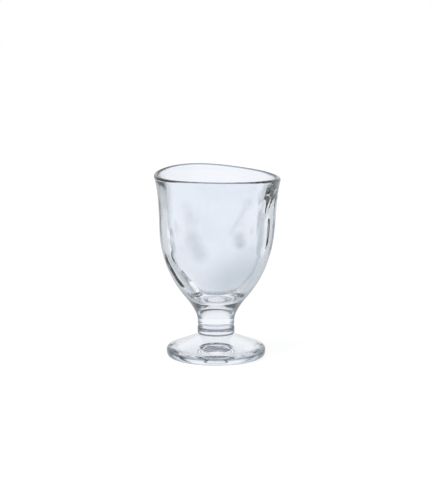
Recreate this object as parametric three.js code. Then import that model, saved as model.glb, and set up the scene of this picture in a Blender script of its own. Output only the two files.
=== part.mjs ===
// A small stemmed liqueur glass of clear, colourless glass, shaped by hand: a thick bowl with soft
// hollows and a wavy lip, a short solid stem, the collar of the joint under it and a heavy domed foot.
// Millimetres, +Z up. The origin is on the table, under the middle of the foot. The front is towards -Y.
import * as THREE from "three";

// Foot: a domed disc with a round edge, hollowed underneath so that it stands on a ring
const FOOT_DIAMETER = 47.2;
const FOOT_EDGE_HEIGHT = 2.9; // of its widest line above the table
const FOOT_BASE_INSET = 1.5; // from the widest line in to the ring that it stands on
const FOOT_RING_WIDTH = 5;
const FOOT_HOLLOW_DEPTH = 2;
const FOOT_CROWN_INSET = 2.3; // from the widest line in to where the round edge meets the dome
const FOOT_CROWN_RISE = 2.4; // from the widest line up to there
const FOOT_DOME_RISE = 5.2; // from there up to the collar's seat

// Collar: the wafer of glass between the stem and the foot. Its lower edge is rounded in under it.
const COLLAR_DIAMETER = 17.7;
const COLLAR_HEIGHT = 3.7;
const COLLAR_TOP_ROUND = 0.5;
const COLLAR_BASE_ROUND = 1.3;

// Stem: a solid column that stands on the collar's flat top, with a waist and a flared head
const STEM_LENGTH = 6.3;
const STEM_WAIST_DIAMETER = 17.4;
const STEM_WAIST_HEIGHT = 1.6; // above the collar
const STEM_HEAD_DIAMETER = 19; // of its joint with the bowl
const STEM_HEAD_SLOPE = 0.45; // outward run for each millimetre of height there

// Bowl, outside: a flare that grows out of the stem, a belly and a lip
const BOWL_HEIGHT = 66.8; // from the stem's joint to the lip, before the lip is pulled up and down
const FLARE_HEIGHT = 7.8;
const FLARE_DIAMETER = 29.2;
const FLARE_SLOPE = 0.85;
const BELLY_DIAMETER = 55.6;
const BELLY_SLOPE = 0.05;
const LIP_REACH = 21.3; // from the belly up to the lip
const LIP_DIAMETER = 60;
const LIP_SLOPE = 0.22;
const LIP_THICKNESS = 2.3;

// Bowl, inside: a wall that is thin at the lip and thick at the belly, and a bottom as round as an egg's
const LIP_WALL_SLOPE = 0.4;
const BELLY_WALL = 5.7;
const BELLY_WALL_SLOPE = 0.13;
const CAVITY_ROUND_DIAMETER = 27.2; // where the wall runs into the round bottom
const CAVITY_ROUND_HEIGHT = 14.6; // of that line above the stem's joint
const CAVITY_CORNER_DIAMETER = 16.4; // where the bottom would have its corner if it weren't round
const FLOOR_THICKNESS = 8.2;
const CAVITY_SHIFT = -0.9; // of the inside along X, most at the belly: one side's wall is thicker
const CAVITY_SHIFT_REACH = 26;

// Hand shaping. Angles in degrees run from +X towards +Y, so the front is at -90. A pull is strongest at
// its middle and fades out over its reach.
const BOWL_LEAN = 0.5; // of the lip, towards +X
const LIP_PULLS = [
  { angle: 122, rise: 1.2, reach: 32 },
  { angle: 18, rise: -1.7, reach: 44 },
  { angle: -100, rise: 0.4, reach: 25 },
];

// Hollows that were pressed into the outside along a line. Its ends are each an angle and a drop below
// the lip. A round tool leaves a soft hollow, and a flat one a facet with an edge. A depth below 0 is a
// ridge.
const PRESSES = [
  { from: [-28, 10], to: [-28, 32], depth: 0.35, reach: 8, tool: "flat" },
  { from: [-34, 20], to: [-36, 33], depth: 0.8, reach: 4.2, tool: "flat" },
  { from: [-62, 10], to: [-76, 25], depth: 0.5, reach: 5, tool: "round" },
  { from: [-65, 23], to: [-68, 27], depth: 1.2, reach: 7, tool: "round" },
  { from: [-118, 21], to: [-113, 27], depth: 1.6, reach: 10, tool: "round" },
  { from: [-150, 14], to: [-152, 32], depth: 0.2, reach: 7, tool: "flat" },
  { from: [-156, 38.5], to: [-139, 50], depth: 0.6, reach: 3.4, tool: "round" },
  { from: [-131, 44.5], to: [-117, 58], depth: -0.55, reach: 3.4, tool: "round" },
  { from: [180, 9], to: [180, 20], depth: 0.5, reach: 14, tool: "round" },
  { from: [118, 24], to: [124, 36], depth: 0.7, reach: 10, tool: "round" },
  { from: [76, 18], to: [70, 28], depth: 0.7, reach: 10, tool: "round" },
  { from: [50, 28], to: [46, 38], depth: 0.5, reach: 8, tool: "round" },
];

// Fineness of the facets: round the axis, along a curve of the outline and along a bend of it
const TURN_STEPS = 60;
const CURVE_STEPS = 8;
const BEND_STEPS = 4;

const FOOT_HEIGHT = FOOT_EDGE_HEIGHT + FOOT_CROWN_RISE + FOOT_DOME_RISE;
const COLLAR_RADIUS = COLLAR_DIAMETER / 2;
const COLLAR_TOP_RADIUS = COLLAR_RADIUS - COLLAR_TOP_ROUND;
const COLLAR_SEAT_RADIUS = COLLAR_RADIUS - COLLAR_BASE_ROUND;
const JOINT_RADIUS = STEM_HEAD_DIAMETER / 2;

// Carries an outline up or down to a radius and a height, on a cubic curve with given slopes at its ends.
function curveTo(outline, slope, radius, height, endSlope) {
  const { x: startRadius, y: startHeight } = outline.currentPoint;
  const third = (height - startHeight) / 3;
  outline.bezierCurveTo(
    startRadius + slope * third,
    startHeight + third,
    radius - endSlope * third,
    height - third,
    radius,
    height,
  );
}

// The outline's points, with each of its lines, curves and bends cut into the steps that its kind needs.
function pointsOf(outline) {
  const steps = { LineCurve: 1, CubicBezierCurve: CURVE_STEPS };
  const points = [outline.curves[0].getPoint(0)];
  for (const curve of outline.curves) {
    points.push(...curve.getPoints(steps[curve.type] ?? BEND_STEPS).slice(1));
  }
  return points;
}

// Turns points of radius and height about the Z axis.
function turned(points) {
  return new THREE.LatheGeometry(points, TURN_STEPS).rotateX(Math.PI / 2);
}

function footGeometry() {
  const edgeRadius = FOOT_DIAMETER / 2;
  const baseRadius = edgeRadius - FOOT_BASE_INSET;
  const hollowRadius = baseRadius - FOOT_RING_WIDTH;
  const crownRadius = edgeRadius - FOOT_CROWN_INSET;
  const crownHeight = FOOT_EDGE_HEIGHT + FOOT_CROWN_RISE;
  const domeSlope = FOOT_DOME_RISE / (crownRadius - COLLAR_SEAT_RADIUS);
  const cornerHeight = crownHeight - domeSlope * FOOT_CROWN_INSET;

  const outline = new THREE.Path();
  outline.moveTo(0, FOOT_HOLLOW_DEPTH);
  outline.quadraticCurveTo(hollowRadius / 2, FOOT_HOLLOW_DEPTH, hollowRadius, 0);
  outline.lineTo(baseRadius, 0);
  outline.quadraticCurveTo(edgeRadius, 0, edgeRadius, FOOT_EDGE_HEIGHT);
  outline.quadraticCurveTo(edgeRadius, cornerHeight, crownRadius, crownHeight);
  outline.lineTo(COLLAR_SEAT_RADIUS, FOOT_HEIGHT);
  outline.lineTo(0, FOOT_HEIGHT);
  return turned(pointsOf(outline));
}

function collarGeometry() {
  const topRoundHeight = COLLAR_HEIGHT - COLLAR_TOP_ROUND;
  const outline = new THREE.Path();
  outline.moveTo(0, 0);
  outline.lineTo(COLLAR_SEAT_RADIUS, 0);
  outline.absarc(COLLAR_SEAT_RADIUS, COLLAR_BASE_ROUND, COLLAR_BASE_ROUND, -Math.PI / 2, 0);
  outline.lineTo(COLLAR_RADIUS, topRoundHeight);
  outline.absarc(COLLAR_TOP_RADIUS, topRoundHeight, COLLAR_TOP_ROUND, 0, Math.PI / 2);
  outline.lineTo(0, COLLAR_HEIGHT);
  return turned(pointsOf(outline));
}

function stemGeometry() {
  const outline = new THREE.Path();
  outline.moveTo(0, 0);
  outline.lineTo(COLLAR_TOP_RADIUS, 0);
  curveTo(outline, 0, STEM_WAIST_DIAMETER / 2, STEM_WAIST_HEIGHT, 0);
  curveTo(outline, 0, JOINT_RADIUS, STEM_LENGTH, STEM_HEAD_SLOPE);
  outline.lineTo(0, STEM_LENGTH);
  return turned(pointsOf(outline));
}

function bowlOutside() {
  const bellyHeight = BOWL_HEIGHT - LIP_REACH;
  const lipRound = LIP_THICKNESS / 2;
  const lipRadius = LIP_DIAMETER / 2;

  const outline = new THREE.Path();
  outline.moveTo(0, 0);
  outline.lineTo(JOINT_RADIUS, 0);
  curveTo(outline, STEM_HEAD_SLOPE, FLARE_DIAMETER / 2, FLARE_HEIGHT, FLARE_SLOPE);
  curveTo(outline, FLARE_SLOPE, BELLY_DIAMETER / 2, bellyHeight, BELLY_SLOPE);
  curveTo(outline, BELLY_SLOPE, lipRadius, BOWL_HEIGHT - lipRound, LIP_SLOPE);
  return outline;
}

function bowlInside() {
  const bellyHeight = BOWL_HEIGHT - LIP_REACH;
  const lipRound = LIP_THICKNESS / 2;
  const lipRadius = LIP_DIAMETER / 2;
  const roundRadius = CAVITY_ROUND_DIAMETER / 2;
  const cornerRadius = CAVITY_CORNER_DIAMETER / 2;
  const roundSlope = (roundRadius - cornerRadius) / (CAVITY_ROUND_HEIGHT - FLOOR_THICKNESS);

  const outline = new THREE.Path();
  outline.moveTo(lipRadius, BOWL_HEIGHT - lipRound);
  outline.absarc(lipRadius - lipRound, BOWL_HEIGHT - lipRound, lipRound, 0, Math.PI);
  curveTo(outline, LIP_WALL_SLOPE, BELLY_DIAMETER / 2 - BELLY_WALL, bellyHeight, BELLY_WALL_SLOPE);
  curveTo(outline, BELLY_WALL_SLOPE, roundRadius, CAVITY_ROUND_HEIGHT, roundSlope);
  outline.quadraticCurveTo(cornerRadius, FLOOR_THICKNESS, 0, FLOOR_THICKNESS);
  return outline;
}

// The share of a move that a point at a distance gets: all of it at no distance, none from the reach on.
function feel(distance, reach, tool = "round") {
  const way = Math.min(distance / reach, 1);
  return tool === "flat" ? 1 - way ** 2 : 1 - THREE.MathUtils.smoothstep(way, 0, 1);
}

// The direction away from the axis at an angle in degrees
function outward(angle) {
  const turn = THREE.MathUtils.degToRad(angle);
  return new THREE.Vector3(Math.cos(turn), Math.sin(turn), 0);
}

// The place on the bowl's outside at an angle and a drop below the lip, between two outline points
function onOutside(points, [angle, drop]) {
  const height = BOWL_HEIGHT - drop;
  const above = points.findIndex((point, i) => i > 1 && point.y >= height);
  const [low, high] = [points[above - 1], points[above]];
  const radius = THREE.MathUtils.mapLinear(height, low.y, high.y, low.x, high.x);
  return outward(angle).multiplyScalar(radius).setZ(height);
}

// How far the hand shaping moves a point of the turned bowl
function handMove(point, presses) {
  const move = new THREE.Vector3((BOWL_LEAN * point.z) / BOWL_HEIGHT, 0, 0);
  for (const { angle, rise, reach } of LIP_PULLS) {
    const middle = outward(angle).multiplyScalar(LIP_DIAMETER / 2).setZ(BOWL_HEIGHT);
    move.z += rise * feel(point.distanceTo(middle), reach);
  }
  for (const { line, push, reach, tool } of presses) {
    const nearest = line.closestPointToPoint(point, true, new THREE.Vector3());
    move.addScaledVector(push, feel(point.distanceTo(nearest), reach, tool));
  }
  return move;
}

// How far a point of the inside moves sideways, which is most on the line round the belly
function insideShift(point) {
  const inset = BELLY_DIAMETER / 2 - BELLY_WALL - Math.hypot(point.x, point.y);
  const rise = point.z - (BOWL_HEIGHT - LIP_REACH);
  return CAVITY_SHIFT * feel(Math.hypot(inset, rise), CAVITY_SHIFT_REACH);
}

function bowlGeometry() {
  const outside = pointsOf(bowlOutside());
  const points = [...outside, ...pointsOf(bowlInside()).slice(1)];
  const presses = PRESSES.map(({ from, to, depth, reach, tool }) => ({
    line: new THREE.Line3(onOutside(outside, from), onOutside(outside, to)),
    push: outward((from[0] + to[0]) / 2).multiplyScalar(-depth),
    reach,
    tool,
  }));

  const geometry = turned(points);
  const place = geometry.getAttribute("position");
  const point = new THREE.Vector3();
  for (let i = 0; i < place.count; i++) {
    point.fromBufferAttribute(place, i);
    const isOutside = i % points.length < outside.length;
    const move = handMove(point, isOutside ? presses : []);
    move.x += isOutside ? 0 : insideShift(point);
    place.setXYZ(i, point.x + move.x, point.y + move.y, point.z + move.z);
  }
  return geometry;
}

function clearGlass() {
  return new THREE.MeshStandardMaterial({ color: 0xe4eaf0, roughness: 0.05, metalness: 0 });
}

function piece(name, geometry) {
  const mesh = new THREE.Mesh(geometry, clearGlass());
  mesh.name = name;
  return mesh;
}

// The pieces stand on one another: each group starts on the flat top of the piece below it.
function stackedOn(height, ...children) {
  const group = new THREE.Group();
  group.position.z = height;
  group.add(...children);
  return group;
}

const glass = new THREE.Group();
glass.add(
  piece("foot", footGeometry()),
  stackedOn(
    FOOT_HEIGHT,
    piece("stem_collar", collarGeometry()),
    stackedOn(
      COLLAR_HEIGHT,
      piece("stem", stemGeometry()),
      stackedOn(STEM_LENGTH, piece("bowl", bowlGeometry())),
    ),
  ),
);

export default glass;
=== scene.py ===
# %% [markdown]
# # A small stemmed liqueur glass
# The object is a little drinking glass of clear, colourless glass, about 88 mm tall. A bowl with a
# thick, softly hollowed wall stands on a short solid stem, and a collar joins the stem to a heavy
# domed foot. The four pieces were joined while they were hot, and nothing on the glass moves.
#
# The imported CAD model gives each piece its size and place. Its flat facets would each bend the
# light their own way, so every piece is modelled again here as a fine, smooth surface in the same
# place.

# %% Load the frame
import math
from itertools import pairwise

import bpy
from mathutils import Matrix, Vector


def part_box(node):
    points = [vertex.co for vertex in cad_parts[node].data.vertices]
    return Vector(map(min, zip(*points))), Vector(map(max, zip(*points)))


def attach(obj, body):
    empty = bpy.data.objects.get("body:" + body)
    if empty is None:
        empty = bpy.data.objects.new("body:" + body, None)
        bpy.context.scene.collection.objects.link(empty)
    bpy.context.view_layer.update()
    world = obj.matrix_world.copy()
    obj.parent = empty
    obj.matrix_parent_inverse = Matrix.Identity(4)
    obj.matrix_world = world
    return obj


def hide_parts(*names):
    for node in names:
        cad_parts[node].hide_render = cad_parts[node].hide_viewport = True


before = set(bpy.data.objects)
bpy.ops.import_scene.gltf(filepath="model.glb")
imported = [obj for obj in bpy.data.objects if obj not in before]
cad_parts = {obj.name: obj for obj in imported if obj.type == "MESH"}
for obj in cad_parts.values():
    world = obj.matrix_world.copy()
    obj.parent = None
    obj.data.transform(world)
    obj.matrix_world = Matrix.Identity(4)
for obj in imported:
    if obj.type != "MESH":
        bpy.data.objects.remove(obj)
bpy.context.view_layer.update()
print("pieces in the frame:", sorted(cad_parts))

# %% [markdown]
# ## Sizes
# Blender works in metres, and small glassware is easier to think of in millimetres, so sizes are
# written as a number times `MM`. Wherever the frame knows a size, it is read from the node's box.
# Only the shapes between those places are new here: the slopes of the outline, the wall and the
# rounding of edges.

# %% Read the sizes
MM = 0.001
BOWL_RISE = 66.8 * MM

foot_low, foot_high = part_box("foot")
collar_low, collar_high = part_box("stem_collar")
stem_low, stem_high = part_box("stem")
bowl_low, bowl_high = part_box("bowl")

FOOT_RADIUS = foot_high.x
SEAT_HEIGHT = foot_high.z
COLLAR_RADIUS = collar_high.x
COLLAR_TOP = collar_high.z
JOINT_RADIUS = stem_high.x
JOINT_HEIGHT = stem_high.z
LIP_RADIUS = (bowl_high.y - bowl_low.y) / 2
LIP_HEIGHT = JOINT_HEIGHT + BOWL_RISE

radii = {"foot": FOOT_RADIUS, "collar": COLLAR_RADIUS, "joint": JOINT_RADIUS, "lip": LIP_RADIUS}
for name, size in radii.items():
    print(f"{name} radius: {size / MM:.2f} mm")

# %% [markdown]
# ## Drawing an outline
# A piece of stemware is a turned form, so each one starts as half of its outline, a row of points
# with a radius and a height. Curve objects could draw it, but three small functions keep the
# numbers in sight: a cubic curve that leaves and arrives at a chosen slope, a round bend and a
# straight line. Each gives the points after its start.

# %% Lines of an outline


def curve(start, start_slope, end, end_slope, steps):
    """A cubic curve up or down to end. A slope is the radius gained for each step of height."""
    (r0, z0), (r1, z1) = start, end
    rise = z1 - z0
    points = []
    for i in range(1, steps + 1):
        t = i / steps
        r = (
            r0 * (1 + 2 * t) * (1 - t) ** 2
            + start_slope * rise * t * (1 - t) ** 2
            + r1 * (3 - 2 * t) * t**2
            - end_slope * rise * (1 - t) * t**2
        )
        points.append((r, z0 + rise * t))
    return points


def bend(start, corner, end, steps):
    """A round bend to end, which leaves and arrives along the lines through the corner."""
    points = []
    for i in range(1, steps + 1):
        t = i / steps
        points.append(
            tuple(a * (1 - t) ** 2 + 2 * b * t * (1 - t) + c * t**2 for a, b, c in zip(start, corner, end))
        )
    return points


def straight(start, end, steps):
    """A straight line to end."""
    return [tuple(a + (b - a) * i / steps for a, b in zip(start, end)) for i in range(1, steps + 1)]


# %% [markdown]
# ## Turning the outline
# On a lathe the outline would be held to the turning work. Here a plane is merged into one point,
# the point is extruded from place to place along the outline, and the spin operator carries that
# line once round the upright axis. The first and last points lie on the axis, so the spin leaves
# many points on top of one another there. They are merged, and the normals are recalculated to face
# outwards.

# %% Spin an outline
TURN_STEPS = 240
MERGE_DISTANCE = 0.001 * MM


def turn(name, outline):
    """Makes a turned piece from an outline of (radius, height) points that starts and ends on the axis."""
    bpy.ops.object.select_all(action="DESELECT")
    bpy.ops.mesh.primitive_plane_add(size=MM)
    piece = bpy.context.object
    piece.name = piece.data.name = name
    bpy.ops.object.mode_set(mode="EDIT")
    bpy.ops.mesh.select_all(action="SELECT")
    bpy.ops.mesh.merge(type="CENTER")
    radius, height = outline[0]
    bpy.ops.transform.translate(value=(radius, 0, height))
    for (r0, z0), (r1, z1) in pairwise(outline):
        bpy.ops.mesh.extrude_region_move(TRANSFORM_OT_translate={"value": (r1 - r0, 0, z1 - z0)})
    bpy.ops.mesh.select_all(action="SELECT")
    bpy.ops.mesh.spin(steps=TURN_STEPS, angle=2 * math.pi, center=(0, 0, 0), axis=(0, 0, 1))
    bpy.ops.mesh.select_all(action="SELECT")
    bpy.ops.mesh.remove_doubles(threshold=MERGE_DISTANCE)
    bpy.ops.mesh.normals_make_consistent(inside=False)
    bpy.ops.object.mode_set(mode="OBJECT")
    print(f"{name}: {len(piece.data.vertices)} points, {len(piece.data.polygons)} faces")
    return piece


# %% [markdown]
# ## The foot
# The foot is a heavy domed disc. Its edge is round, its top rises straight to the seat of the
# collar, and its underside is pressed in, so that the glass stands on a ring. The hollow matters
# although it is out of sight: its upper side mirrors the stem, and that image is the grey patch in
# the middle of the foot.

# %% Turn the foot
SEAT_RADIUS = COLLAR_RADIUS - 1.3 * MM
FOOT_EDGE_HEIGHT = 2.9 * MM
FOOT_BASE_RADIUS = FOOT_RADIUS - 1.5 * MM
FOOT_HOLLOW_RADIUS = FOOT_BASE_RADIUS - 5 * MM
FOOT_HOLLOW_DEPTH = 2 * MM
FOOT_CROWN_RADIUS = FOOT_RADIUS - 2.3 * MM
FOOT_CROWN_HEIGHT = FOOT_EDGE_HEIGHT + 2.4 * MM


def foot_outline():
    dome_slope = (SEAT_HEIGHT - FOOT_CROWN_HEIGHT) / (FOOT_CROWN_RADIUS - SEAT_RADIUS)
    hollow_top = (0, FOOT_HOLLOW_DEPTH)
    hollow_rim = (FOOT_HOLLOW_RADIUS, 0)
    base = (FOOT_BASE_RADIUS, 0)
    edge = (FOOT_RADIUS, FOOT_EDGE_HEIGHT)
    crown = (FOOT_CROWN_RADIUS, FOOT_CROWN_HEIGHT)
    crown_corner = (FOOT_RADIUS, FOOT_CROWN_HEIGHT - dome_slope * (FOOT_RADIUS - FOOT_CROWN_RADIUS))
    seat = (SEAT_RADIUS, SEAT_HEIGHT)
    outline = [hollow_top]
    outline += bend(hollow_top, (FOOT_HOLLOW_RADIUS / 2, FOOT_HOLLOW_DEPTH), hollow_rim, steps=24)
    outline += straight(hollow_rim, base, steps=4)
    outline += bend(base, (FOOT_RADIUS, 0), edge, steps=16)
    outline += bend(edge, crown_corner, crown, steps=16)
    outline += straight(crown, seat, steps=24)
    outline += [(0, SEAT_HEIGHT)]
    return outline


foot = turn("clear_foot", foot_outline())

# %% [markdown]
# ## The collar
# Where the stem meets the foot there is a wafer of glass, seen as a band between two lines. A bevel
# on a disc could round its edges, but the two differ: the upper one is crisp, and the lower one
# turns in under the collar, where it sank onto the foot.

# %% Turn the collar
COLLAR_TOP_ROUND = 0.5 * MM
COLLAR_TOP_RADIUS = COLLAR_RADIUS - COLLAR_TOP_ROUND


def collar_outline():
    low_flat = (SEAT_RADIUS, SEAT_HEIGHT)
    low_side = (COLLAR_RADIUS, SEAT_HEIGHT + COLLAR_RADIUS - SEAT_RADIUS)
    high_side = (COLLAR_RADIUS, COLLAR_TOP - COLLAR_TOP_ROUND)
    high_flat = (COLLAR_TOP_RADIUS, COLLAR_TOP)
    outline = [(0, SEAT_HEIGHT), low_flat]
    outline += bend(low_flat, (COLLAR_RADIUS, SEAT_HEIGHT), low_side, steps=8)
    outline += straight(low_side, high_side, steps=6)
    outline += bend(high_side, (COLLAR_RADIUS, COLLAR_TOP), high_flat, steps=6)
    outline += [(0, COLLAR_TOP)]
    return outline


collar = turn("clear_collar", collar_outline())

# %% [markdown]
# ## The stem
# The stem is a short solid column with a waist just above the collar. Its head widens into the
# bowl, so its outline ends on the same slope as the bowl's begins.

# %% Turn the stem
STEM_WAIST_RADIUS = 8.7 * MM
STEM_WAIST_HEIGHT = COLLAR_TOP + 1.6 * MM
STEM_HEAD_SLOPE = 0.45


def stem_outline():
    base = (COLLAR_TOP_RADIUS, COLLAR_TOP)
    waist = (STEM_WAIST_RADIUS, STEM_WAIST_HEIGHT)
    head = (JOINT_RADIUS, JOINT_HEIGHT)
    outline = [(0, COLLAR_TOP), base]
    outline += curve(base, 0, waist, 0, steps=6)
    outline += curve(waist, 0, head, STEM_HEAD_SLOPE, steps=24)
    outline += [(0, JOINT_HEIGHT)]
    return outline


stem = turn("clear_stem", stem_outline())

# %% [markdown]
# ## The bowl
# The bowl grows out of the stem in a flare, turns upwards into the belly and opens a little towards
# the lip. A Solidify modifier would make the wall equally thick everywhere. The real wall is thin
# at the lip, thick at the belly and thickest under the round bottom, so the inside is an outline of
# its own.

# %% Lines of the bowl
FLARE = (14.6 * MM, JOINT_HEIGHT + 7.8 * MM)
FLARE_SLOPE = 0.85
BELLY = (27.8 * MM, LIP_HEIGHT - 21.3 * MM)
BELLY_SLOPE = 0.05
LIP_ROUND = 1.15 * MM
LIP_SLOPE = 0.22


def bowl_outside():
    """The outside from the flare up to the lip."""
    lip = (LIP_RADIUS, LIP_HEIGHT - LIP_ROUND)
    flare_to_belly = curve(FLARE, FLARE_SLOPE, BELLY, BELLY_SLOPE, steps=40)
    belly_to_lip = curve(BELLY, BELLY_SLOPE, lip, LIP_SLOPE, steps=20)
    return [FLARE, *flare_to_belly, *belly_to_lip]


def lip_arc(steps):
    """The round lip, from just after its outside over the top to its inside."""
    centre = LIP_RADIUS - LIP_ROUND
    turns = [math.pi * i / steps for i in range(1, steps + 1)]
    base = LIP_HEIGHT - LIP_ROUND
    return [(centre + LIP_ROUND * math.cos(a), base + LIP_ROUND * math.sin(a)) for a in turns]


# %% [markdown]
# ## The inside of the bowl
# Inside, the wall thickens from the lip down to the belly and then runs into a round bottom. A ball
# cut out of the bowl would be simpler, but its sides would be too round, so the inside is made of
# two curves and a bend. The outline goes up the outside, over the lip and down the inside, and is
# turned as one closed form.

# %% Turn the bowl
LIP_WALL_SLOPE = 0.4
INNER_BELLY = (BELLY[0] - 5.7 * MM, BELLY[1])
INNER_BELLY_SLOPE = 0.13
CAVITY_ROUND = (13.6 * MM, JOINT_HEIGHT + 14.6 * MM)
CAVITY_CORNER = (8.2 * MM, JOINT_HEIGHT + 8.2 * MM)


def bowl_outline():
    joint = (JOINT_RADIUS, JOINT_HEIGHT)
    inner_lip = (LIP_RADIUS - 2 * LIP_ROUND, LIP_HEIGHT - LIP_ROUND)
    round_slope = (CAVITY_ROUND[0] - CAVITY_CORNER[0]) / (CAVITY_ROUND[1] - CAVITY_CORNER[1])
    outline = [(0, JOINT_HEIGHT), joint]
    outline += curve(joint, STEM_HEAD_SLOPE, FLARE, FLARE_SLOPE, steps=16)
    outline += bowl_outside()[1:]
    outline += lip_arc(steps=14)
    outline += curve(inner_lip, LIP_WALL_SLOPE, INNER_BELLY, INNER_BELLY_SLOPE, steps=24)
    outline += curve(INNER_BELLY, INNER_BELLY_SLOPE, CAVITY_ROUND, round_slope, steps=36)
    outline += bend(CAVITY_ROUND, CAVITY_CORNER, (0, CAVITY_CORNER[1]), steps=24)
    return outline


bowl = turn("clear_bowl", bowl_outline())

# %% [markdown]
# ## Paint shade on the edges
# In the photograph the lip, the collar and the edge of the foot show as thin slate lines, and the
# sides and the neck are darkened more softly. They are the dark parts of the room, bent and mirrored
# by the glass. Bent light alone shows these too weakly, so they are marked here with attributes of
# the points, before anything moves the points, and painted shade darkens the glass's colour there. A
# material for each would do it too, but then every painted shade would end at an edge.

# %% Mark the painted shade on the edges
LIP_MARK = 0.5 * MM
COLLAR_TOP_MARK = 0.6 * MM
COLLAR_BASE_MARK = 1.2 * MM
OUTSIDE_DEPTH = 1 * MM
FOOT_RIM = 2 * MM
FOOT_LINE = 0.4 * MM
NECK_TOP = JOINT_HEIGHT + 13 * MM
NECK_FADE = 5 * MM


def outside_radius(height):
    """The radius of the bowl's outside at a height, or 0 above the wall and below it."""
    for (r0, z0), (r1, z1) in pairwise(bowl_outside()):
        if z0 <= height <= z1:
            return r0 + (r1 - r0) * (height - z0) / (z1 - z0)
    return 0


def mark_painted_shade(piece, name, weigh):
    attribute = piece.data.attributes.new(name, "FLOAT", "POINT")
    marks = [float(weigh(point.co)) for point in piece.data.vertices]
    attribute.data.foreach_set("value", marks)
    print(f"{piece.name}: {sum(value > 0 for value in marks)} points marked as {name}")


def radius_of(co):
    return math.hypot(co.x, co.y)


def everywhere(co):
    return True


def on_collar_lines(co):
    return co.z > COLLAR_TOP - COLLAR_TOP_MARK or co.z < SEAT_HEIGHT + COLLAR_BASE_MARK


def on_foot_line(co):
    return abs(co.z - FOOT_EDGE_HEIGHT) < FOOT_LINE and radius_of(co) > FOOT_RADIUS - FOOT_LINE


# Where the glass's colour takes painted shade: dark lines at the lip, the collar and the foot's edge, and
# softer painted shade on the sides and the neck.
mark_painted_shade(bowl, "edge", lambda co: co.z > LIP_HEIGHT - LIP_MARK)
mark_painted_shade(collar, "edge", on_collar_lines)
mark_painted_shade(foot, "edge", on_foot_line)
mark_painted_shade(bowl, "side", lambda co: radius_of(co) > outside_radius(co.z) - OUTSIDE_DEPTH)
mark_painted_shade(foot, "side", lambda co: radius_of(co) > FOOT_RADIUS - FOOT_RIM)
mark_painted_shade(bowl, "neck", lambda co: min(1, max(0, (NECK_TOP - co.z) / NECK_FADE)))
for piece in (stem, collar):
    mark_painted_shade(piece, "side", everywhere)
    mark_painted_shade(piece, "neck", everywhere)

# %% [markdown]
# ## Tools for shaping by hand
# The real bowl isn't a perfect turned form: tools pressed it while it was soft. Proportional
# editing does what they did. Chosen points are moved, and the points around them follow, less and
# less out to a reach. Sculpt brushes could do it too, but they need a window.

# %% Choose and drag points


def outward(angle):
    """The direction away from the axis at an angle in degrees from +X towards +Y."""
    return Vector((math.cos(math.radians(angle)), math.sin(math.radians(angle)), 0))


def choose(piece, wanted):
    """Selects the points of a piece for which wanted(place) is true, and nothing else."""
    mesh = piece.data
    for part in (*mesh.polygons, *mesh.edges, *mesh.vertices):
        part.select = False
    for point in mesh.vertices:
        point.select = wanted(point.co)
    return sum(point.select for point in mesh.vertices)


def drag(piece, move, reach, falloff, connected):
    """Moves the chosen points of a piece, and those within reach less and less."""
    bpy.ops.object.select_all(action="DESELECT")
    bpy.context.view_layer.objects.active = piece
    piece.select_set(True)
    bpy.ops.object.mode_set(mode="EDIT")
    bpy.ops.mesh.select_mode(type="VERT")
    bpy.ops.transform.translate(
        value=move,
        use_proportional_edit=True,
        proportional_edit_falloff=falloff,
        proportional_size=reach,
        use_proportional_connected=connected,
    )
    bpy.ops.object.mode_set(mode="OBJECT")


# %% [markdown]
# ## Pressed hollows
# The outside has soft hollows and a few flat facets, and each bends the white behind the glass into
# a patch, a streak or a dark line. A press runs along a line between two places, each an angle and
# a drop below the lip in millimetres. A round tool leaves a soft hollow, a flat one a facet with an
# edge, and a depth below 0 raises a ridge. Only connected points follow, so the inside of the wall
# stays smooth. The marks at the end of the list are small ones.

# %% Press the bowl
FALLOFFS = {"round": "SMOOTH", "flat": "INVERSE_SQUARE"}
LINE_STEP = 0.6
PRESSES = [
    {"start": (-28, 10), "end": (-28, 32), "depth": 0.35, "reach": 8, "tool": "flat"},
    {"start": (-34, 20), "end": (-36, 33), "depth": 0.8, "reach": 4.2, "tool": "flat"},
    {"start": (-62, 10), "end": (-76, 25), "depth": 0.5, "reach": 5, "tool": "round"},
    {"start": (-65, 23), "end": (-68, 27), "depth": 1.2, "reach": 7, "tool": "round"},
    {"start": (-118, 21), "end": (-113, 27), "depth": 1.6, "reach": 10, "tool": "round"},
    {"start": (-150, 14), "end": (-152, 32), "depth": 0.2, "reach": 7, "tool": "flat"},
    {"start": (-156, 38.5), "end": (-139, 50), "depth": 0.6, "reach": 3.4, "tool": "round"},
    {"start": (-131, 44.5), "end": (-117, 58), "depth": -0.55, "reach": 3.4, "tool": "round"},
    {"start": (180, 9), "end": (180, 20), "depth": 0.5, "reach": 14, "tool": "round"},
    {"start": (118, 24), "end": (124, 36), "depth": 0.7, "reach": 10, "tool": "round"},
    {"start": (76, 18), "end": (70, 28), "depth": 0.7, "reach": 10, "tool": "round"},
    {"start": (50, 28), "end": (46, 38), "depth": 0.5, "reach": 8, "tool": "round"},
]
MARKS = [
    {"start": (-39, 4), "end": (-39, 6), "depth": 0.35, "reach": 3.5, "tool": "round"},
    {"start": (-142, 25), "end": (-142, 26), "depth": 0.3, "reach": 3, "tool": "round"},
    {"start": (-142, 32), "end": (-142, 33), "depth": 0.3, "reach": 3, "tool": "round"},
]


def on_outside(angle, drop):
    """The place on the bowl's outside at an angle and a drop below the lip in millimetres."""
    height = LIP_HEIGHT - drop * MM
    return outward(angle) * outside_radius(height) + Vector((0, 0, height))


def line_places(start, end, count):
    """Places along a line on the bowl's outside, whose ends are each an angle and a drop."""
    places = []
    for i in range(count + 1):
        angle, drop = (a + (b - a) * i / count for a, b in zip(start, end))
        places.append(on_outside(angle, drop))
    return places


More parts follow.
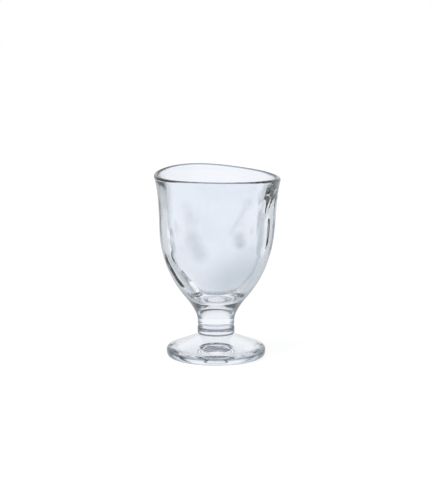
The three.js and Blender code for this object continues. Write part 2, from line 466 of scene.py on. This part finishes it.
def press(piece, start, end, depth, reach, tool):
    length = math.hypot(end[1] - start[1], math.radians(end[0] - start[0]) * BELLY[0] / MM)
    places = line_places(start, end, math.ceil(length / LINE_STEP))
    chosen = choose(piece, lambda co: any((co - place).length < LINE_STEP * MM for place in places))
    drag(piece, -depth * MM * outward((start[0] + end[0]) / 2), reach * MM, FALLOFFS[tool], True)
    print(f"press at {start}: {chosen} points pressed {depth} mm")


for hollow in PRESSES + MARKS:
    press(bowl, **hollow)

# %% [markdown]
# ## Painted shade in the hollows
# In the photograph the hollows show as soft grey spots, and a few sharp edges at the lower left as
# dark strokes. The presses alone shade them too weakly, so that shade is painted into the glass's
# colour as well, by marks on the points. Deeper presses would darken them too, but they would change
# the bowl's outline. A mark fades with the distance from a line between two places, like a press.

# %% Mark the painted shade in the hollows
# Lines of painted shade: grey spots on the hollows and dark strokes on the sharp edges.
SPOTS = [
    {"start": (-115, 27), "end": (-107, 34), "reach": 6.5, "weight": 0.5},
    {"start": (-67, 26), "end": (-65, 29), "reach": 4.5, "weight": 0.7},
    {"start": (-58, 9), "end": (-76, 24), "reach": 2.2, "weight": 0.35},
    {"start": (-72, 47), "end": (-48, 45), "reach": 19, "weight": 0.4},
    {"start": (-120, 12), "end": (-116, 18), "reach": 5, "weight": 0.2},
]
STROKES = [
    {"start": (-132, 44), "end": (-117.5, 57), "reach": 1.7, "weight": 1},
    {"start": (-142, 24), "end": (-142, 26), "reach": 1.4, "weight": 0.9},
    {"start": (-142, 32), "end": (-141, 35), "reach": 1.4, "weight": 0.9},
]
LINE_PLACES = 20


def near_lines(lines):
    """A function that weighs a point by how near it is to any of the lines."""
    placed = []
    for line in lines:
        places = line_places(line["start"], line["end"], LINE_PLACES)
        placed.append((line["reach"] * MM, line["weight"], places))

    def weigh(co):
        heaviest = 0
        for reach, weight, places in placed:
            near = 1 - min((co - place).length for place in places) / reach
            if near > 0:
                heaviest = max(heaviest, weight * near * near * (3 - 2 * near))
        return heaviest

    return weigh


# Painted shade: grey spots on the hollows and dark strokes on the sharp edges at the lower left.
mark_painted_shade(bowl, "spot", near_lines(SPOTS))
mark_painted_shade(bowl, "stroke", near_lines(STROKES))

# %% [markdown]
# ## The wall, the lip and the lean
# The inside sits a little to one side, so the wall is thicker on the other. The lip rises and
# falls, and the whole bowl leans. Each is one drag with a long reach. The lip and the lean take
# both sides of the wall along, so there points follow whether they are connected or not.

# %% Shift, pull and lean the bowl
CAVITY_SHIFT = -0.9 * MM
CAVITY_SHIFT_REACH = 26 * MM
BOWL_LEAN = 0.5 * MM
INNER_SIDE_DEPTH = 4 * MM
BELLY_BAND = 0.5 * MM
LIP_BAND = 4 * MM
LIP_PULLS = [
    {"angle": 122, "rise": 1.2 * MM, "reach": 32 * MM},
    {"angle": 18, "rise": -1.7 * MM, "reach": 44 * MM},
    {"angle": -100, "rise": 0.4 * MM, "reach": 25 * MM},
]


def on_inner_belly(co):
    return radius_of(co) < BELLY[0] - INNER_SIDE_DEPTH and abs(co.z - BELLY[1]) < BELLY_BAND


def on_outer_lip(co):
    return radius_of(co) > LIP_RADIUS - LIP_ROUND and co.z > LIP_HEIGHT - LIP_BAND


def pull_lip(piece, angle, rise, reach):
    place = outward(angle) * LIP_RADIUS + Vector((0, 0, LIP_HEIGHT))
    points = (point.co.copy() for point in piece.data.vertices)
    nearest = min(points, key=lambda co: (co - place).length)
    choose(piece, lambda co: co == nearest)
    drag(piece, Vector((0, 0, rise)), reach, "SMOOTH", False)


choose(bowl, on_inner_belly)
drag(bowl, Vector((CAVITY_SHIFT, 0, 0)), CAVITY_SHIFT_REACH, "SMOOTH", True)
for pull in LIP_PULLS:
    pull_lip(bowl, **pull)
choose(bowl, on_outer_lip)
drag(bowl, Vector((BOWL_LEAN, 0, 0)), LIP_HEIGHT - JOINT_HEIGHT, "LINEAR", False)
print(f"bowl: top of the lip at {max(point.co.z for point in bowl.data.vertices) / MM:.2f} mm")

# %% [markdown]
# ## Shader maths
# A shader is a web of nodes, which is slow to write and to read. A small class wraps a socket, so
# that an expression in Python adds the Math nodes for it, and one method adds any other node with
# its settings and its links.

# %% The wrapper for sockets
WHITE = (1, 1, 1)


class Value:
    """A number in a node tree. Arithmetic on it adds Math nodes."""

    def __init__(self, tree, socket):
        self.tree = tree
        self.socket = socket

    def _math(self, operation, first, second):
        return self.tree.add("ShaderNodeMath", {"operation": operation}, [first, second]).out(0)

    def __add__(self, other):
        return self._math("ADD", self, other)

    __radd__ = __add__

    def __sub__(self, other):
        return self._math("SUBTRACT", self, other)

    def __rsub__(self, other):
        return self._math("SUBTRACT", other, self)

    def __mul__(self, other):
        return self._math("MULTIPLY", self, other)

    __rmul__ = __mul__


class Made:
    """A node that was added to a tree."""

    def __init__(self, tree, node):
        self.tree = tree
        self.node = node

    def out(self, name):
        return Value(self.tree, self.node.outputs[name])


class Tree:
    """The nodes of a material or a world."""

    def __init__(self, owner):
        owner.use_nodes = True
        self.nodes = owner.node_tree.nodes
        self.links = owner.node_tree.links
        self.nodes.clear()

    def add(self, kind, settings=None, sockets=None):
        """Adds a node, sets its settings and then its sockets, by name or by number, to values or links."""
        node = self.nodes.new(kind)
        for name, setting in (settings or {}).items():
            if name == "stops":
                set_stops(node.color_ramp, setting)
            else:
                setattr(node, name, setting)
        named = sockets.items() if isinstance(sockets, dict) else enumerate(sockets or [])
        for name, given in named:
            if isinstance(given, Value):
                self.links.new(given.socket, node.inputs[name])
            else:
                node.inputs[name].default_value = given
        return Made(self, node)


def set_stops(colours, stops):
    """Gives a colour ramp its stops, each a place from 0 to 1 and a colour."""
    while len(colours.elements) < len(stops):
        colours.elements.new(1)
    for element, (place, colour) in zip(colours.elements, stops):
        element.position = place
        element.color = (*colour, 1)


def ramp(tree, stops, value):
    return tree.add("ShaderNodeValToRGB", {"stops": stops}, {"Fac": value}).out("Color")


def blend(tree, kind, factor, first, second):
    sockets = {0: factor, 6: first, 7: second}
    return tree.add("ShaderNodeMix", {"data_type": "RGBA", "blend_type": kind}, sockets).out(2)


# %% [markdown]
# ## Clear glass
# Clear glass shows nothing but what it bends and mirrors. Seen square on it is almost colourless.
# Towards its edges light has further to go through it, and a ramp over the facing angle, cheaper
# than absorption inside the glass, darkens the glass's colour there to a deep slate: partly that
# longer path, and for the most part painted shade for the dark room that the edges bend and mirror.
# The marks on the points deepen that painted shade at the lines, the sides, the neck and the
# hollows. The tools and the fire left faint ripples, too shallow to model, so they are a bump.

# %% The glass
GLASS_IOR = 1.5
GLASS_FACING_TINT = (0.86, 0.885, 0.925)
# Painted shade: the near-black slate at grazing angles stands in for the dark room the edges mirror.
GLASS_EDGE_PAINTED_SHADE = (0.05, 0.08, 0.12)
GLASS_EDGE_START = 0.62
# Painted shade for the dark lines at the lip, the collar and the foot's edge.
GLASS_LINE_PAINTED_SHADE = (0.2, 0.24, 0.3, 1)
# Painted shade for the grey spots and the dark strokes on the hollows.
GLASS_SPOT_PAINTED_SHADE = (0.25, 0.33, 0.35, 1)
GLASS_STROKE_PAINTED_SHADE = (0.05, 0.06, 0.08, 1)
# Ramps of painted shade over the facing angle, for the sides and for the neck.
GLASS_SIDE_PAINTED_SHADE = [
    (0.34, WHITE),
    (0.52, (0.45, 0.5, 0.53)),
    (0.7, (0.36, 0.4, 0.44)),
    (0.86, (0.12, 0.15, 0.19)),
]
GLASS_NECK_PAINTED_SHADE = [(0.48, WHITE), (0.68, (0.3, 0.34, 0.38)), (0.9, (0.15, 0.18, 0.21))]
FACING_BLEND = 0.5
RIPPLE_SCALE = 110
RIPPLE_DETAIL = 1
RIPPLE_DEPTH = 0.03 * MM


def clear_glass():
    material = bpy.data.materials.new("clear_glass")
    tree = Tree(material)
    facing = tree.add("ShaderNodeLayerWeight", None, {"Blend": FACING_BLEND}).out("Facing")
    stops = [(0, GLASS_FACING_TINT), (GLASS_EDGE_START, GLASS_FACING_TINT), (1, GLASS_EDGE_PAINTED_SHADE)]
    tint_and_painted_shade = ramp(tree, stops, facing)
    shades = {
        "side": ramp(tree, GLASS_SIDE_PAINTED_SHADE, facing),
        "neck": ramp(tree, GLASS_NECK_PAINTED_SHADE, facing),
        "edge": GLASS_LINE_PAINTED_SHADE,
        "spot": GLASS_SPOT_PAINTED_SHADE,
        "stroke": GLASS_STROKE_PAINTED_SHADE,
    }
    # Each marked place multiplies painted shade into the glass's colour.
    for name, shade in shades.items():
        marked = tree.add("ShaderNodeAttribute", {"attribute_name": name}).out("Fac")
        tint_and_painted_shade = blend(tree, "MULTIPLY", marked, tint_and_painted_shade, shade)
    place = tree.add("ShaderNodeTexCoord").out("Object")
    pattern = {"Vector": place, "Scale": RIPPLE_SCALE, "Detail": RIPPLE_DETAIL}
    ripples = tree.add("ShaderNodeTexNoise", None, pattern)
    bump = tree.add("ShaderNodeBump", None, {"Distance": RIPPLE_DEPTH, "Height": ripples.out("Fac")})
    shader = tree.add(
        "ShaderNodeBsdfPrincipled",
        None,
        {
            "Base Color": tint_and_painted_shade,
            "Roughness": 0,
            "IOR": GLASS_IOR,
            "Transmission Weight": 1,
            "Normal": bump.out("Normal"),
        },
    )
    tree.add("ShaderNodeOutputMaterial", None, {"Surface": shader.out("BSDF")})
    return material


glass_material = clear_glass()
print("glass:", len(glass_material.node_tree.nodes), "nodes")

# %% [markdown]
# ## Joints and dressing
# The pieces were joined hot, so no surface is left between them. Joining the meshes would lose the
# pieces, so the flat faces where they meet get a see-through material instead, and light goes
# straight from one piece into the next. Each new piece then takes the place of its CAD node.

# %% Dress the pieces
JOINT_HEIGHTS = (SEAT_HEIGHT, COLLAR_TOP, JOINT_HEIGHT)
SMOOTH_ANGLE = math.radians(40)
LEVEL_NORMAL = 0.999


def open_joint():
    material = bpy.data.materials.new("open_joint")
    tree = Tree(material)
    clear = tree.add("ShaderNodeBsdfTransparent")
    tree.add("ShaderNodeOutputMaterial", None, {"Surface": clear.out("BSDF")})
    return material


def is_joint(face):
    level = abs(face.normal.z) > LEVEL_NORMAL
    return level and any(abs(face.center.z - height) < MERGE_DISTANCE for height in JOINT_HEIGHTS)


def dress(piece, node):
    bpy.ops.object.select_all(action="DESELECT")
    bpy.context.view_layer.objects.active = piece
    piece.select_set(True)
    bpy.ops.object.shade_smooth_by_angle(angle=SMOOTH_ANGLE)
    piece.data.materials.append(glass_material)
    piece.data.materials.append(joint_material)
    for face in piece.data.polygons:
        face.material_index = 1 if is_joint(face) else 0
    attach(piece, "root")
    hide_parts(node)
    joined = sum(face.material_index for face in piece.data.polygons)
    print(f"{piece.name}: {joined} faces in its joints")


joint_material = open_joint()
dress(foot, "foot")
dress(collar, "stem_collar")
dress(stem, "stem")
dress(bowl, "bowl")

# %% [markdown]
# ## Helpers for the studio
# Glass on white shows only by what it bends, so a photographer keeps the sides and the ceiling of
# the room dark, out of the picture, and the glass's edges pick them up as dark lines. Cards of
# cardboard could be modelled. Here the sky has those shades, and every ray sees the same floor and
# the same sky.

# %% Shades for the studio


def between(tree, value, low, high, start, end):
    """A number that goes smoothly from start to end while a value goes from low to high."""
    sockets = {"Value": value, "From Min": low, "From Max": high, "To Min": start, "To Max": end}
    return tree.add("ShaderNodeMapRange", {"interpolation_type": "SMOOTHSTEP"}, sockets).out("Result")


# %% [markdown]
# ## The floor
# The floor is matt and pale, and it keeps the glass's soft shadow. It also glows a little, so that
# it reaches white without strong lamps. The glass shows the same white floor as the camera does.

# %% The floor
FLOOR_RADIUS = 1.6
FLOOR_CORNERS = 96
FLOOR_GAP = 0.1 * MM
FLOOR_GLOW = 0.85
FLOOR_GREY = (0.3, 0.3, 0.3, 1)


def white_floor():
    material = bpy.data.materials.new("white_floor")
    tree = Tree(material)
    matt = tree.add("ShaderNodeBsdfDiffuse", None, {"Color": FLOOR_GREY})
    glow = tree.add("ShaderNodeEmission", None, {"Color": (*WHITE, 1), "Strength": FLOOR_GLOW})
    both = tree.add("ShaderNodeAddShader", None, [matt.out(0), glow.out(0)])
    tree.add("ShaderNodeOutputMaterial", None, {"Surface": both.out(0)})
    return material


bpy.ops.object.select_all(action="DESELECT")
bpy.ops.mesh.primitive_circle_add(
    vertices=FLOOR_CORNERS,
    radius=FLOOR_RADIUS,
    fill_type="NGON",
    location=(0, 0, -FLOOR_GAP),
)
floor = bpy.context.object
floor.name = "floor"
floor.data.materials.append(white_floor())
print(f"floor: {2 * FLOOR_RADIUS} m across")

# %% [markdown]
# ## The sky
# Behind the glass hangs a white backdrop, and another white panel stands behind the camera. Between
# them the room is darker: grey at the sides, darkest at the ceiling. Those dark parts are the slate
# lines along the glass's edges. The direction of a ray, from -1 to 1 on each axis, tells where in
# the room it ends.

# %% The sky
SKY_COLOURS = [(0, (0.03, 0.035, 0.045)), (0.45, (0.42, 0.45, 0.49)), (1, WHITE)]
# Each is a range of a direction, and the levels at its start and its end.
BACKDROP_TO_BACK = (0.52, 0.66, 0, 1)
BACKDROP_ASIDE = (0.2, 0.5, 1, 0.2)
WALLS_UPWARDS = (0.04, 0.12, 0.14, 0.5)
CEILING_UPWARDS = (0.48, 0.66, 1, 0)
LEFT_LIGHT_ACROSS = (-0.3, 0.1, 0.8, 0.08)
RIGHT_WALL_ACROSS = (-0.2, 0.5, 1, 0.45)
PANEL_TO_BACK = (-0.3, -0.7, 0, 1)
PANEL_UPWARDS = (0.06, 0.12, 0, 1)

world = bpy.data.worlds.new("studio")
bpy.context.scene.world = world
sky = Tree(world)
way = sky.add("ShaderNodeTexCoord").out("Generated")
axes = sky.add("ShaderNodeSeparateXYZ", None, [way])
to_right, to_back, upwards = (axes.out(axis) for axis in "XYZ")

aside = to_right * to_right
backdrop = between(sky, to_back, *BACKDROP_TO_BACK) * between(sky, aside, *BACKDROP_ASIDE)
walls = between(sky, upwards, *WALLS_UPWARDS)
below_ceiling = between(sky, upwards, *CEILING_UPWARDS)
left_light = between(sky, to_right, *LEFT_LIGHT_ACROSS)
right_wall = between(sky, to_right, *RIGHT_WALL_ACROSS)
shade = right_wall * (below_ceiling + (1 - below_ceiling) * left_light)
level = backdrop + (1 - backdrop) * walls * shade
front_panel = between(sky, to_back, *PANEL_TO_BACK) * between(sky, upwards, *PANEL_UPWARDS)
room = blend(sky, "MIX", front_panel, ramp(sky, SKY_COLOURS, level), (*WHITE, 1))
background = sky.add("ShaderNodeBackground", None, {"Color": room, "Strength": 1})
sky.add("ShaderNodeOutputWorld", None, {"Surface": background.out(0)})
print("sky:", len(world.node_tree.nodes), "nodes")

# %% [markdown]
# ## The lamp
# One large soft lamp at the upper left gives the floor its light and the glass its faint shadow. A
# sun would draw a hard shadow. The glass itself shows no lamp, so this one is hidden from mirrored
# and bent rays.

# %% The lamp
LAMP_PLACE = Vector((-0.5, -0.3, 1.2))
LAMP_SIZE = 0.8
LAMP_WATTS = 6

bpy.ops.object.light_add(type="AREA", location=LAMP_PLACE)
lamp = bpy.context.object
lamp.name = "window"
lamp.data.shape = "SQUARE"
lamp.data.size = LAMP_SIZE
lamp.data.energy = LAMP_WATTS
to_glass = Vector((0, 0, LIP_HEIGHT / 2)) - LAMP_PLACE
lamp.rotation_euler = to_glass.to_track_quat("-Z", "Y").to_euler()
lamp.visible_glossy = False
lamp.visible_transmission = False
print(f"lamp: {LAMP_WATTS} W, {LAMP_SIZE} m wide")

# %% [markdown]
# ## The camera
# The photograph looks down on the glass a little, from about a metre away with a long lens, so the
# lip's ellipse is narrow and the sides hardly converge. Light crosses many surfaces of glass before
# it gets out, so the render is allowed many bounces. With too few of them, the thick parts turn
# black.

# %% The camera
CAMERA_PLACE = Vector((0, -1, 0.24))
CAMERA_PITCH = math.radians(-10.447)
CAMERA_LENS = 161.25
CAMERA_SENSOR = 36
BOUNCES = {
    "max_bounces": 32,
    "transmission_bounces": 24,
    "glossy_bounces": 12,
    "transparent_max_bounces": 24,
}

bpy.ops.object.camera_add(location=CAMERA_PLACE, rotation=(math.pi / 2 + CAMERA_PITCH, 0, 0))
camera = bpy.context.object
camera.name = "camera"
camera.data.lens = CAMERA_LENS
camera.data.sensor_width = CAMERA_SENSOR

scene = bpy.context.scene
scene.camera = camera
scene.view_settings.view_transform = "Standard"
for name, count in BOUNCES.items():
    setattr(scene.cycles, name, count)
print(f"camera: {CAMERA_LENS} mm lens")
